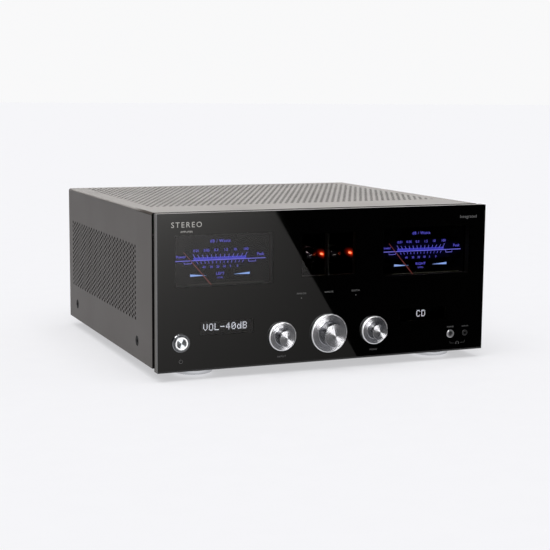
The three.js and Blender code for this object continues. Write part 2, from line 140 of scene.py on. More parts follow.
class Finish:
    """A material under construction, or any other node tree that is handed in."""

    def __init__(self, name, tree=None):
        if tree is None:
            self.material = bpy.data.materials.new(name)
            self.material.use_nodes = True
            tree = self.material.node_tree
        self.tree = tree
        self.tree.nodes.clear()

    def node(self, kind, settings=None, inputs=None, out=0):
        """Adds a node: its settings first, then the value or link of each socket."""
        made = self.tree.nodes.new(kind)
        for name, value in (settings or {}).items():
            if name == "stops":
                for stop, (position, colour) in zip(made.color_ramp.elements, value):
                    stop.position, stop.color = position, colour
            else:
                setattr(made, name, value)
        for name, value in (inputs or {}).items():
            if isinstance(value, Reading):
                self.tree.links.new(value.socket, made.inputs[name])
            else:
                made.inputs[name].default_value = value
        return Reading(self, made.outputs[out]) if made.outputs else None

    def maths(self, operation, first, second=0.0):
        return self.node("ShaderNodeMath", {"operation": operation}, {0: first, 1: second})

    def place(self, shift=(0, 0, 0), turn=(0, 0, 0), scale=(1, 1, 1)):
        """The place on the object, shifted, turned and scaled."""
        here = self.node("ShaderNodeTexCoord", out=3)
        inputs = {"Vector": here, "Location": shift, "Rotation": turn, "Scale": scale}
        return self.node("ShaderNodeMapping", inputs=inputs)

    def axes(self, where=None):
        """The X, Y and Z of a place, each as a reading."""
        split = self.node("ShaderNodeSeparateXYZ", inputs={0: where or self.place()})
        return [Reading(self, out) for out in split.socket.node.outputs]

    def noise(self, scale, detail=2.0, where=None):
        """Noise from 0 to 1, so many blobs to the metre."""
        inputs = {"Vector": where or self.place(), "Scale": scale, "Detail": detail}
        return self.node("ShaderNodeTexNoise", inputs=inputs)

    def mix(self, share, first, second):
        """A colour between two others."""
        return self.node("ShaderNodeMix", {"data_type": "RGBA"}, {0: share, 6: first, 7: second}, 2)

    def bump(self, height, distance, strength=1.0):
        inputs = {"Height": height, "Distance": distance, "Strength": strength}
        return self.node("ShaderNodeBump", inputs=inputs)

    def surface(self, **sockets):
        """Finishes the material with one shader. Base_Color stands for the socket Base Color."""
        named = {name.replace("_", " "): value for name, value in sockets.items()}
        shader = self.node("ShaderNodeBsdfPrincipled", inputs=named)
        self.node("ShaderNodeOutputMaterial", inputs={"Surface": shader})
        return self.material


def tint(red, green, blue, alpha=1.0):
    """A screen colour from 0 to 255 as the linear colour that a shader takes."""
    parts = [part / 255 for part in (red, green, blue)]
    return (*[((p + 0.055) / 1.055) ** 2.4 if p > 0.04 else p / 12.92 for p in parts], alpha)


# %% [markdown]
# Most of the amplifier is painted or anodised metal and moulded plastic. Paint is never one
# flat colour: it has a slow unevenness from the spray gun and a fine grain that breaks up the
# shine. One recipe with a few numbers covers all of those.

# %% Paints and plastics
def grained(name, colour, rough, metallic=0.0, grain=2200, depth=0.02, uneven=0.10, **more):
    """A finish with slow unevenness and a fine grain. Grain is in bumps to the metre."""
    finish = Finish(name)
    slow = finish.noise(14, 3.0)
    fine = finish.noise(grain, 1.0)
    dark = [part * (1 - uneven) for part in colour[:3]] + [1.0]
    light = [part * (1 + uneven) for part in colour[:3]] + [1.0]
    return finish.surface(
        Base_Color=finish.mix(slow * 0.75 + fine * 0.25, dark, light),
        Metallic=metallic,
        Roughness=slow * 0.10 + fine * 0.06 + (rough - 0.08),
        Normal=finish.bump(fine, depth * MM),
        **more,
    )


WARM = (1.0, 0.93, 0.88, 1.0)
case_paint = grained(
    "warm_grey_paint", tint(62, 57, 53), 0.46, Specular_IOR_Level=0.40, Specular_Tint=WARM
)
black_steel = grained("black_painted_steel", tint(17, 17, 17), 0.55, Specular_IOR_Level=0.2)
punched_edge = grained("punched_edge", tint(14, 13, 12), 0.7, Specular_IOR_Level=0.1)
black_plastic = grained("black_moulded_plastic", tint(20, 20, 21), 0.42, grain=1500)
red_plastic = grained("red_moulded_plastic", tint(158, 22, 18), 0.34, grain=1500)
white_plastic = grained("white_moulded_plastic", tint(214, 212, 205), 0.38, grain=1500)
plain_steel = grained("bare_zinc_steel", tint(112, 114, 116), 0.55, 0.5, grain=900)
black_aluminium = grained("black_anodised_metal", tint(26, 26, 28), 0.38, 0.6)
# The tread is rubber; its pale colour is a painted reflection of the floor seen under the feet.
tread_and_painted_reflection = grained("pale_tread_and_painted_reflection", tint(176, 178, 184), 0.7)
screw_black = grained("blackened_screw", tint(5, 5, 5), 0.6, 0.0, Specular_IOR_Level=0.1)
satin_nickel = grained("satin_nickel", tint(205, 205, 208), 0.36, 1.0, grain=1800, depth=0.004)
polished_chrome = grained("polished_chrome", tint(214, 215, 218), 0.15, 1.0, depth=0.002)
gold_plate = grained("gold_plate", tint(214, 170, 92), 0.26, 1.0, depth=0.004)

# %% [markdown]
# The frame behind the glass is the same grey outside. Its rear edge is black as painted shade for the
# dark recess of the step to the case, and inside the grey rim it is black where it shows through the
# windows.

# %% Frame with painted shade along its rear edge
GREY_RIM, GREY_TOP, REAR_SHADE_DEPTH = 1.5, 180, 9.4


def paint_with_painted_shade():
    """Grey paint on the outer rim and black inside it, with painted shade in black along the rear edge.
    """
    finish = Finish("fascia_paint_and_painted_shade")
    x, y, z = finish.axes()
    inner_part = finish.maths("LESS_THAN", finish.maths("ABSOLUTE", x), (HALF_WIDTH - GREY_RIM) * MM)
    below_top = finish.maths("LESS_THAN", z, at(0, 0, GREY_TOP).z)
    # Painted shade: black along the rear edge stands for the dark recess of the step to the case.
    rear_shade = finish.maths("GREATER_THAN", y, at(0, REAR_SHADE_DEPTH, 0).y)
    black = finish.maths("MAXIMUM", rear_shade, inner_part * below_top)
    grain = finish.noise(1200, 2.0)
    paint = finish.mix(grain, tint(78, 75, 71), tint(86, 83, 79))
    return finish.surface(
        Base_Color=finish.mix(black, paint, tint(6, 6, 6)),
        Roughness=finish.maths("MAXIMUM", black * 0.8, grain * 0.06 + 0.40),
        Specular_IOR_Level=0.35,
        Specular_Tint=WARM,
    )


fascia_paint = paint_with_painted_shade()

# %% [markdown]
# The knobs are turned from solid aluminium. What makes turned metal look turned is its fine
# concentric grooves, and those are cut into the mesh further down, so the metal itself only
# needs a bright colour, a low roughness and a little unevenness.

# %% Turned metal
turned_aluminium = grained(
    "turned_aluminium", tint(150, 151, 155), 0.22, 1.0, depth=0.003, uneven=0.04
)
dark_turned = grained("dark_turned_metal", tint(126, 130, 134), 0.18, 1.0, depth=0.003)
dark_chrome = grained("dark_chrome", tint(128, 130, 134), 0.16, 1.0, depth=0.002)
# Painted highlight: a lighter, rougher copy of the turned metal for the rims that catch the light.
painted_highlight_metal = grained("turned_edge_painted_highlight", tint(240, 241, 244), 0.48, 1.0, depth=0.003)
print("turned metals ready")

# %% [markdown]
# Inside are circuit boards and a ring-shaped transformer. A board is green lacquer over copper
# tracks, and the edges of a cell pattern pass for tracks. The transformer is wound with
# overlapping tape, so its pattern counts laps by the angle round its middle.

# %% Boards and windings
TAPE_LAPS = 48


def solder_mask():
    """Green lacquer over copper tracks."""
    finish = Finish("circuit_board_green")
    inputs = {"Vector": finish.place(), "Scale": 260.0}
    cells = finish.node("ShaderNodeTexVoronoi", {"feature": "DISTANCE_TO_EDGE"}, inputs)
    tracks = finish.maths("LESS_THAN", cells, 0.06)
    return finish.surface(
        Base_Color=finish.mix(tracks, tint(14, 52, 32), tint(30, 88, 54)),
        Roughness=finish.noise(40) * 0.1 + 0.25,
        Normal=finish.bump(tracks, 0.03 * MM),
    )


def wound_tape():
    """Varnished tape that runs round the ring of a transformer."""
    finish = Finish("wound_transformer_tape")
    x, y, _ = finish.axes(finish.place(shift=tuple(-at(*middle("transformer")))))
    lap = finish.maths("FRACT", finish.maths("ARCTAN2", y, x) * (TAPE_LAPS / math.tau))
    return finish.surface(
        Base_Color=finish.mix(lap, tint(96, 62, 24), tint(150, 104, 48)),
        Roughness=0.32 + lap * 0.1,
        Normal=finish.bump(lap, 0.3 * MM),
    )


circuit_board = solder_mask()
wound_transformer = wound_tape()
print("boards and windings ready")

# %% [markdown]
# The glass only needs tint and a smooth surface. Where its back is inked it is a gloss black instead, and
# through the clear windows the meters, the tubes and the displays are seen. These give their own light.
# The faint glow of the meters' needles is painted light.

# %% Glass and light
def clear_glass(name, colour, rough=0.0, index=1.5):
    """Glass with a trace of haze where hands have wiped it."""
    finish = Finish(name)
    haze = finish.noise(9, 3.0)
    return finish.surface(
        Base_Color=colour,
        Roughness=haze * 0.004 + rough,
        IOR=index,
        Transmission_Weight=1.0,
    )


def glowing(name, colour, strength, base=(0.01, 0.01, 0.012, 1.0)):
    """Print or a lamp that gives its own light, a little unevenly; on the needle it is painted light."""
    finish = Finish(name)
    uneven = finish.noise(160, 1.0)
    dim = [part * 0.8 for part in colour[:3]] + [1.0]
    return finish.surface(
        Base_Color=base,
        Roughness=0.6,
        Emission_Color=finish.mix(uneven, dim, colour),
        Emission_Strength=strength,
    )


smoked_glass = clear_glass("smoked_glass", tint(205, 205, 207), index=1.42)
tube_glass = clear_glass("clear_tube_glass", tint(236, 238, 240), index=1.47)
backed_glass = grained("glass_over_black_ink", tint(2, 2, 2), 0.03, depth=0.0, IOR=1.5)
grey_ink = grained("grey_ink", tint(98, 98, 98), 0.6, depth=0.0)
pale_ink = grained("pale_ink", tint(180, 178, 173), 0.6, depth=0.0)
violet_line = glowing("violet_print", (0.18, 0.17, 0.80, 1.0), 1.45)
violet_text = glowing("violet_lettering", (0.10, 0.09, 0.62, 1.0), 2.1)
violet_band = glowing("violet_band", (0.03, 0.03, 0.58, 1.0), 1.3)
sky_wedge = glowing("pale_blue_print", (0.27, 0.42, 0.85, 1.0), 1.7)
white_dots = glowing("display_dots", (0.66, 0.68, 0.74, 1.0), 3.2)
# Painted light: the needle is no lamp, and its faint glow stands in for the dial's light falling on it.
needle_red = glowing("needle_red", (0.30, 0.06, 0.04, 1.0), 0.26, tint(110, 36, 30))
amber_glow = glowing("amber_lamp", (1.0, 0.22, 0.09, 1.0), 3.6)
flat_black = grained("flat_black", tint(6, 6, 6), 0.8, Specular_IOR_Level=0.0)
# Painted light: a dim glow for the faint light along the edges of the dials; the rules are no lamp.
painted_edge_glow = glowing("painted_window_edge_glow", (0.030, 0.030, 0.018, 1.0), 1.0)

# %% [markdown]
# The meter's dial is lit from behind through a dark screen. The light is strongest behind the
# scale and dies away to the edges, so the dial has a faint violet haze in its middle.

# %% Dial and display screens
METER_X, METER_MIDDLE = middle("meter_dial_right")[0], 128.0
BLACK = (0, 0, 0, 1)


def lit_dial():
    """A dark screen with a faint haze of light behind the scale, on both meters."""
    finish = Finish("back_lit_dial")
    x, _, z = finish.axes()
    sideways = finish.maths("ABSOLUTE", x) - METER_X * MM
    level = z - at(0, 0, METER_MIDDLE).z
    spread = sideways * sideways * 260 + level * level * 5200
    haze = finish.maths("MAXIMUM", 1 - spread, 0.0)
    return finish.surface(
        Base_Color=finish.mix(finish.noise(900, 1.0), tint(3, 3, 4), tint(5, 5, 6)),
        Roughness=0.6,
        Specular_IOR_Level=0.0,
        Emission_Color=finish.mix(haze, BLACK, (0.0016, 0.0013, 0.016, 1)),
        Emission_Strength=1.0,
    )


dial_screen = lit_dial()
display_screen = grained("display_window", tint(3, 3, 4), 0.5, depth=0.0, Specular_IOR_Level=0.0)
print("screens ready")

# %% [markdown]
# Each part in the frame's record names a material slot, and the slot decides its finish. A few
# parts differ from the rest of their slot: the screws are blackened, the headphone socket is
# nickel, and what shows behind the windows has to swallow light.

# %% Give every part of the frame its finish
FINISHES = {
    "smoked_glass": smoked_glass,
    "fascia_paint": fascia_paint,
    "case_paint": case_paint,
    "black_steel": black_steel,
    "plain_steel": plain_steel,
    "turned_aluminium": turned_aluminium,
    "black_aluminium": black_aluminium,
    "polished_chrome": polished_chrome,
    "black_plastic": black_plastic,
    "red_plastic": red_plastic,
    "circuit_board": circuit_board,
    "wound_transformer": wound_transformer,
    "lit_dial": dial_screen,
    "lit_display": display_screen,
    "needle_red": needle_red,
    "tube_glass": tube_glass,
}
EXCEPTIONS = {
    "cover_screw": screw_black,
    "headphone_jack": satin_nickel,
    "tube_shroud": flat_black,
    "meter_case": flat_black,
    "power_bezel": dark_chrome,
}
for part in frame["record"]["subparts"]:
    finish = FINISHES[part["material_slot"]]
    for start, other in EXCEPTIONS.items():
        if part["node"].startswith(start):
            finish = other
    materials = frame["nodes"][part["node"]].data.materials
    materials.clear()
    materials.append(finish)
print("finishes", len(FINISHES), "exceptions", len(EXCEPTIONS))

# %% [markdown]
# The camera stands to the left of the amplifier and a little above it, about a metre and a half
# away, with a portrait lens. It is made before the pieces, because it never depends on them.

# %% Camera
CAMERA_PLACE = Vector((-0.6539, -1.5837, 0.3323))
HEADING, TILT, ROLL = math.radians(22.91), math.radians(-8.12), math.radians(0.50)
LENS = 84.4

camera = bpy.data.objects.new("camera", bpy.data.cameras.new("camera"))
scene.collection.objects.link(camera)
scene.camera = camera
camera.data.lens = LENS
camera.data.sensor_width = 36
camera.data.clip_start = 0.05
ahead = Vector(
    (math.sin(HEADING) * math.cos(TILT), math.cos(HEADING) * math.cos(TILT), math.sin(TILT))
)
camera.matrix_world = (
    Matrix.Translation(CAMERA_PLACE)
    @ ahead.to_track_quat("-Z", "Y").to_matrix().to_4x4()
    @ Matrix.Rotation(ROLL, 4, "Z")
)
scene.view_settings.view_transform = "Standard"
print("camera", [round(value, 3) for value in CAMERA_PLACE])

# %% [markdown]
# A product studio is a pale floor under a large soft sky. The floor gives a little light of its
# own, so that it stays nearly white and the shadow on it stays soft. Every panel of the studio
# is one face, because nothing more of it shows.

# %% Panels and the floor
REACH = 30
FLOOR_GLOW = 0.55


def stage_sheet(name, corners, material):
    """A flat panel of the studio from its four corners."""
    bm = bmesh.new()
    bm.faces.new([bm.verts.new(corner) for corner in corners])
    mesh = bpy.data.meshes.new(name)
    bm.to_mesh(mesh)
    bm.free()
    sheet = bpy.data.objects.new(name, mesh)
    scene.collection.objects.link(sheet)
    mesh.materials.append(material)
    sheet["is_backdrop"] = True
    return sheet


def lying(left, right, front, back, height):
    """The corners of a panel that lies flat."""
    return [(left, front, height), (right, front, height), (right, back, height), (left, back, height)]


def upright(left, right, y, low, high):
    """The corners of a panel that stands square to the front."""
    return [(left, y, low), (right, y, low), (right, y, high), (left, y, high)]


def floor_paper():
    """Pale paper with a faint speckle."""
    finish = Finish("pale_floor")
    speckle = finish.noise(30, 3.0)
    return finish.surface(
        Base_Color=finish.mix(speckle, (0.44, 0.44, 0.45, 1), (0.46, 0.46, 0.47, 1)),
        Roughness=0.9,
        Specular_IOR_Level=0.0,
        Emission_Color=(0.93, 0.93, 0.95, 1),
        Emission_Strength=FLOOR_GLOW,
    )


floor = stage_sheet("floor", lying(-REACH, REACH, -REACH, REACH, 0), floor_paper())
print(floor.name, 2 * REACH, "m square")

# %% [markdown]
# What shiny parts mirror is set with cards, flat panels that only reflections see. One stands
# behind for the sheen on the cover. One hangs in front and one high on the left, for the turned
# metal. One lies on the floor in front, and its slanting edge gives the glass a grey half and a
# black half.

# %% Cards for the reflections
CARD_WHITE = (1, 0.975, 0.95, 1)
SLANT, SLANT_START = 0.3615, 0.027
ABOVE_FLOOR = 0.0006


def card(name, corners, strength):
    """A panel that only reflections see. Its strength is a number, or a function of its finish."""
    finish = Finish(name)
    value = strength(finish) if callable(strength) else strength
    shader = finish.node("ShaderNodeEmission", inputs={"Color": CARD_WHITE, "Strength": value})
    finish.node("ShaderNodeOutputMaterial", inputs={"Surface": shader})
    sheet = stage_sheet(name, corners, finish.material)
    sheet.visible_camera = False
    sheet.visible_diffuse = False
    sheet.visible_shadow = False


def glass_reflection(finish):
    """Grey on the left, brighter away from a slanting edge, and black to the right of it."""
    x, y, _ = finish.axes()
    forward = y * -1
    inside = forward * SLANT - SLANT_START - x
    fade = finish.maths("MINIMUM", inside * 1.7 + 0.5, 1.05)
    lit = finish.maths("GREATER_THAN", inside, 0.0)
    return lit * fade * (forward * 0.43 + 0.45)


slanted = lying(-1.2, 1.9, -0.256, -4.2, ABOVE_FLOOR)
slanted[2] = (3.4, -4.2, ABOVE_FLOOR)
card("front_floor_card", slanted, glass_reflection)
card("back_card", upright(-3, 3, 2.6, 0.8, 2.4), 3.9)
card("front_card", upright(-0.28, 0.26, -0.95, 0.13, 0.50), 10.0)
card("high_left_card", lying(-1.2, -0.45, -1.4, -0.4, 1.3), 14.0)
print("cards hung")

# %% [markdown]
# The sky shows white to the camera, gives a weaker even light, and is dim in reflections so that
# black glass stays black. One very wide sun overhead adds the soft shadow under the case.

# %% Sky and overhead light
world = bpy.data.worlds.new("soft_sky")
scene.world = world
world.use_nodes = True
sky = Finish("soft_sky", world.node_tree)
SKY_LIGHT = (0.34, 0.34, 0.35, 1)
SKY_SEEN = (0.945, 0.945, 0.95, 1)
SKY_MIRRORED = (0.10, 0.105, 0.12, 1)
light = sky.node("ShaderNodeBackground", inputs={"Color": SKY_LIGHT})
for ray, colour in (("Is Camera Ray", SKY_SEEN), ("Is Glossy Ray", SKY_MIRRORED)):
    is_ray = sky.node("ShaderNodeLightPath", out=ray)
    other = sky.node("ShaderNodeBackground", inputs={"Color": colour})
    light = sky.node("ShaderNodeMixShader", inputs={0: is_ray, 1: light, 2: other})
sky.node("ShaderNodeOutputWorld", inputs={"Surface": light})

lamp = bpy.data.objects.new("overhead_light", bpy.data.lights.new("overhead_light", "SUN"))
scene.collection.objects.link(lamp)
lamp.data.energy = 1.85
lamp.data.angle = math.radians(66)
lamp.rotation_euler = (math.radians(12), math.radians(-8), 0)
lamp.visible_glossy = False
lamp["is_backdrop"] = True
print("sky and light ready")

# %% [markdown]
# Every piece goes through the same last step: its mesh gets smooth shading with creases where faces meet
# at an angle, a finish and a body to ride on. On a flat sheet, smooth shading would bend the light near
# holes, so its flat faces stay flat.

# %% Turn a bmesh into a piece
def settle(bm, name, finish, body="chassis", crease=35, sheet=False):
    """Makes a piece of the amplifier from a bmesh that is already in place."""
    mesh = bpy.data.meshes.new(name)
    bm.to_mesh(mesh)
    bm.free()
    mesh.shade_smooth()
    mesh.set_sharp_from_angle(angle=math.radians(crease))
    if sheet:
        for polygon in mesh.polygons:
            polygon.use_smooth = max(abs(part) for part in polygon.normal) < 0.9995
    piece = bpy.data.objects.new(name, mesh)
    scene.collection.objects.link(piece)
    for material in finish if isinstance(finish, (list, tuple)) else [finish]:
        mesh.materials.append(material)
    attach(piece, body)
    return piece


# %% [markdown]
# Knobs, sockets, tubes and feet are all round, and a lathe makes round things from an outline.
# A full spin of a line of edges does the same. It leaves a doubled seam and doubled poles, so
# those are merged and the faces are turned outwards afterwards.

# %% A lathe
def spun(outline, axis, steps):
    """A closed round shape from the corners of its outline, in metres."""
    bm = bmesh.new()
    points = [bm.verts.new(corner) for corner in outline]
    edges = [bm.edges.new(pair) for pair in zip(points, points[1:])]
    geometry = points + edges
    bmesh.ops.spin(
        bm, geom=geometry, cent=(0, 0, 0), axis=axis, angle=math.tau, steps=steps, use_merge=True
    )
    bmesh.ops.remove_doubles(bm, verts=bm.verts, dist=0.002 * MM)
    bmesh.ops.recalc_face_normals(bm, faces=bm.faces)
    return bm


def lathe(outline, centre, steps=64):
    """A round shape about an axis along Y, from (radius, depth) points in millimetres."""
    x, height = centre
    bm = spun([(radius * MM, depth * MM, 0) for radius, depth in outline], (0, 1, 0), steps)
    bmesh.ops.translate(bm, verts=bm.verts, vec=at(x, 0, height))
    return bm


def parted(bm, x, height, inner, outer=1000):
    """Gives the faces between two distances from an axis the second finish."""
    for face in bm.faces:
        off = face.calc_center_median() - at(x, 0, height)
        face.material_index = int(inner * MM < math.hypot(off.x, off.z) < outer * MM)


# %% [markdown]
# The cover is one folded sheet with round holes punched in a staggered pattern. Punching
# thousands of holes with booleans is slow and leaves slivers. A brick with one hole is easy:
# a small grid gives its outline, a circle gives the hole, and one bridge joins them. Bricks laid
# like a wall have their corners on each other's middles, and that staggers the holes.

# %% Lay a wall of punched bricks
HOLE_SIDES = 12


def brick(bm, pitch, course, hole):
    """One brick round one hole, in the XY plane, or half a plain brick when hole is 0."""
    shape = Matrix.Diagonal((pitch / 2, course / 2, 1, 1))
    if not hole:
        shape = Matrix.Translation((pitch / 4, 0, 0)) @ Matrix.Diagonal((pitch / 4, course / 2, 1, 1))
        made = bmesh.ops.create_grid(bm, x_segments=2, y_segments=2, size=1, matrix=shape)
        return made["verts"]
    made = bmesh.ops.create_grid(bm, x_segments=4, y_segments=2, size=1, matrix=shape)
    faces = list({face for vert in made["verts"] for face in vert.link_faces})
    bmesh.ops.delete(bm, geom=faces, context="FACES_KEEP_BOUNDARY")
    outline = [vert for vert in made["verts"] if vert.is_valid]
    ring = bmesh.ops.create_circle(bm, segments=HOLE_SIDES, radius=hole)["verts"]
    edges = list({edge for vert in outline + ring for edge in vert.link_edges})
    bmesh.ops.bridge_loops(bm, edges=edges)
    return outline + ring


def copies(bm, verts, step, count):
    """Repeats a set of verts with their edges and faces, count pieces in all."""
    geometry = verts + list({edge for vert in verts for edge in vert.link_edges})
    geometry += list({face for vert in verts for face in vert.link_faces})
    for index in range(1, count):
        made = bmesh.ops.duplicate(bm, geom=geometry)["geom"]
        fresh = [item for item in made if isinstance(item, bmesh.types.BMVert)]
        bmesh.ops.translate(bm, verts=fresh, vec=Vector(step) * index)


def brick_wall(columns, courses, pitch, course, hole):
    """A centred wall of bricks. Every other course starts and ends with half a plain brick."""
    bm = bmesh.new()
    left, low = -columns * pitch / 2, -courses * course / 2
    for index, holes in enumerate((columns, columns - 1)):
        start = left + (index + 1) * pitch / 2
        before = set(bm.verts)
        row = brick(bm, pitch, course, hole)
        bmesh.ops.translate(bm, verts=row, vec=(start, low + (index + 0.5) * course, 0))
        copies(bm, row, (pitch, 0, 0), holes)
        if index:
            for edge in (left, -left - pitch / 2):
                half = brick(bm, pitch, course, 0)
                bmesh.ops.translate(bm, verts=half, vec=(edge, low + 1.5 * course, 0))
        whole = [vert for vert in bm.verts if vert not in before]
        copies(bm, whole, (0, 2 * course, 0), (courses + 1 - index) // 2)
    bmesh.ops.remove_doubles(bm, verts=bm.verts, dist=pitch * 0.02)
    return bm


# %% [markdown]
# The plain margin round the holes grows out of the wall: its rim is extruded and slid to the
# edges of the sheet. The sheet is modelled without thickness, and a modifier gives it its wall,
# with the cut edges of the holes in a darker finish.

# %% Margins and thickness
EDGE_SEARCH = 0.02 * MM


def rim(bm, axis, value):
    """The open edges that lie on one line of the sheet."""
    return [
        edge
        for edge in bm.edges
        if edge.is_boundary and all(abs(vert.co[axis] - value) < EDGE_SEARCH for vert in edge.verts)
    ]


def slide_rim(bm, low, high):
    """Extrudes the outer rim of a flat sheet and slides it out to a rectangle."""
    inner = [min(vert.co[axis] for vert in bm.verts) for axis in (0, 1)]
    outer = [max(vert.co[axis] for vert in bm.verts) for axis in (0, 1)]
    sides = [(axis, value) for axis in (0, 1) for value in (inner[axis], outer[axis])]
    edges = {edge for axis, value in sides for edge in rim(bm, axis, value)}
    made = bmesh.ops.extrude_edge_only(bm, edges=list(edges))["geom"]
    for vert in (item for item in made if isinstance(item, bmesh.types.BMVert)):
        for axis in (0, 1):
            if abs(vert.co[axis] - inner[axis]) < EDGE_SEARCH:
                vert.co[axis] = low[axis]
            elif abs(vert.co[axis] - outer[axis]) < EDGE_SEARCH:
                vert.co[axis] = high[axis]


def with_thickness(piece, thickness):
    """Gives a sheet its wall, inwards from the outer face."""
    wall = piece.modifiers.new("wall", "SOLIDIFY")
    wall.thickness = thickness
    wall.offset = -1
    wall.use_even_offset = True
    wall.material_offset_rim = 1
    return piece


print("edges are found within", EDGE_SEARCH / MM, "mm")

# %% [markdown]
# On the top the rim at each side goes on round a small bend, which a spin of a quarter turn
# makes. The pitch of the holes is eight millimetres both ways.

# %% The top of the cover
COVER_LOW, COVER_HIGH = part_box("top_cover")
SHEET, BEND = 1.5 * MM, 3 * MM
SHEET_FINISH = (case_paint, punched_edge)
TOP_PITCH, TOP_COURSE, TOP_HOLE = 8.0 * MM, 8.0 * MM, 2.2 * MM
TOP_COLUMNS, TOP_COURSES = 49, 38
TOP_MIDDLE = at(0, 243.5, 0).y

top = brick_wall(TOP_COLUMNS, TOP_COURSES, TOP_PITCH, TOP_COURSE, TOP_HOLE)
bmesh.ops.translate(top, verts=top.verts, vec=(0, TOP_MIDDLE, 0))
flat = COVER_HIGH.x - BEND
slide_rim(top, (-flat, COVER_LOW.y), (flat, COVER_HIGH.y))
bmesh.ops.translate(top, verts=top.verts, vec=(0, 0, COVER_HIGH.z))
for side in (-1, 1):
    edges = rim(top, 0, side * flat)
    points = list({vert for edge in edges for vert in edge.verts})
    bmesh.ops.spin(
        top,
        geom=points + edges,
        cent=(side * flat, 0, COVER_HIGH.z - BEND),
        axis=(0, side, 0),
        angle=math.pi / 2,
        steps=6,
    )
bmesh.ops.recalc_face_normals(top, faces=top.faces)
cover_top = settle(top, "cover_top", SHEET_FINISH, crease=20, sheet=True)
with_thickness(cover_top, SHEET)
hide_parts("top_cover")
print("top of the cover", len(cover_top.data.polygons), "faces")

# %% [markdown]
# The sides are the same sheet below the bend. Their holes are smaller and their rows stand
# upright. Under the holes the margin has a round opening for each of the two case screws, and
# a fill between an outline and circles lets the operator find the faces.

# %% The sides of the cover
SIDE_PITCH, SIDE_COURSE, SIDE_HOLE = 6.2 * MM, 6.25 * MM, 2.05 * MM
SIDE_COLUMNS, SIDE_COURSES = 15, 49
SIDE_MIDDLE = (94.0, 236.0)
SCREW_STRIP = 40
SCREW_HOLE = 6.2 * MM


def side_skin(name, side):
    """One side, laid out flat with X up the case and Y along it, then stood upright."""
    height, depth = SIDE_MIDDLE
    bm = brick_wall(SIDE_COLUMNS, SIDE_COURSES, SIDE_PITCH, SIDE_COURSE, SIDE_HOLE)
    bmesh.ops.translate(bm, verts=bm.verts, vec=(at(0, 0, height).z, at(0, depth, 0).y, 0))
    seam = at(0, 0, SCREW_STRIP).z
    slide_rim(bm, (seam, COVER_LOW.y), (COVER_HIGH.z - BEND, COVER_HIGH.y))
    edges = rim(bm, 0, seam)
    ends = [
        min((v for e in edges for v in e.verts), key=lambda v: v.co.y),
        max((v for e in edges for v in e.verts), key=lambda v: v.co.y),
    ]
    corners = [bm.verts.new((COVER_LOW.z, end.co.y, 0)) for end in ends]
    loop = [ends[0], *corners, ends[1]]
    edges += [bm.edges.new(pair) for pair in zip(loop, loop[1:])]
    for end in ("front", "rear"):
        _, screw_depth, screw_height = middle(f"cover_screw_{name}_{end}")
        where = Matrix.Translation((at(0, 0, screw_height).z, at(0, screw_depth, 0).y, 0))
        ring = bmesh.ops.create_circle(bm, segments=32, radius=SCREW_HOLE, matrix=where)["verts"]
        edges += list({edge for vert in ring for edge in vert.link_edges})
    bmesh.ops.triangle_fill(bm, use_beauty=True, edges=edges)
    stood = Matrix(((0, 0, 1, side * HALF_WIDTH * MM), (0, 1, 0, 0), (1, 0, 0, 0), (0, 0, 0, 1)))
    bmesh.ops.transform(bm, matrix=stood, verts=bm.verts)
    bmesh.ops.recalc_face_normals(bm, faces=bm.faces)
    if sum(face.normal.x * face.calc_area() for face in bm.faces) * side < 0:
        bmesh.ops.reverse_faces(bm, faces=bm.faces)
    piece = settle(bm, f"cover_side_{name}", SHEET_FINISH, crease=20, sheet=True)
    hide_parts("top_cover")
    return with_thickness(piece, SHEET)


for name, side in SIDES.items():
    skin = side_skin(name, side)
    print(skin.name, len(skin.data.polygons), "faces")

# %% [markdown]
# The front is one sheet of smoked glass. Black ink covers its back except at five windows, and
# ink behind glass looks like a deep gloss black with the shine of the glass on top. A copy of
# the sheet already has every round hole in the right place, so it only needs straight cuts
# along the windows' edges. The faces outside the windows then take the gloss black.

# %% Front sheet with windows
DISPLAY_X, _, DISPLAY_MIDDLE = middle("display_right")
WINDOWS = {
    "meter_left": (-METER_X, METER_MIDDLE, 121, 60),
    "meter_right": (METER_X, METER_MIDDLE, 121, 60),
    "tubes": (0.0, 129.0, 71.6, 51),
    "display_left": (-DISPLAY_X, DISPLAY_MIDDLE, 67, 16),
    "display_right": (DISPLAY_X, DISPLAY_MIDDLE, 67, 16),
}


def cut_windows(bm):
    """Cuts the sheet along every edge of every window."""
    for x, height, width, tall in WINDOWS.values():
        for sign in (-1, 1):
            cuts = (
                (at(x + sign * width / 2, 0, 0), (1, 0, 0)),
                (at(0, 0, height + sign * tall / 2), (0, 0, 1)),
            )
            for place, normal in cuts:
                geometry = bm.verts[:] + bm.edges[:] + bm.faces[:]
                bmesh.ops.bisect_plane(
                    bm, geom=geometry, plane_co=place, plane_no=normal, dist=0.001 * MM
                )


def in_window(face):
    """Whether a face lies in front of one of the windows."""
    here, _, up = measured(face.calc_center_median())
    return any(
        abs(here - x) < width / 2 and abs(up - height) < tall / 2
        for x, height, width, tall in WINDOWS.values()
    )


sheet = bmesh.new()
sheet.from_mesh(frame["nodes"]["front_glass"].data)
bmesh.ops.remove_doubles(sheet, verts=sheet.verts, dist=0.01 * MM)
cut_windows(sheet)
for face in sheet.faces:
    face.material_index = int(not in_window(face))
bmesh.ops.recalc_face_normals(sheet, faces=sheet.faces)
GLASS_FINISH = (smoked_glass, backed_glass)
glass = settle(sheet, "front_sheet", GLASS_FINISH, crease=20, sheet=True)
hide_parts("front_glass")
print("front sheet", len(glass.data.polygons), "faces")

# %% [markdown]
# Lettering is set with Blender's own typeface, turned into a mesh and stood upright against the
# back of the glass. A whole group of words becomes one piece. The words are generic: they name
# functions and give numbers on a scale.

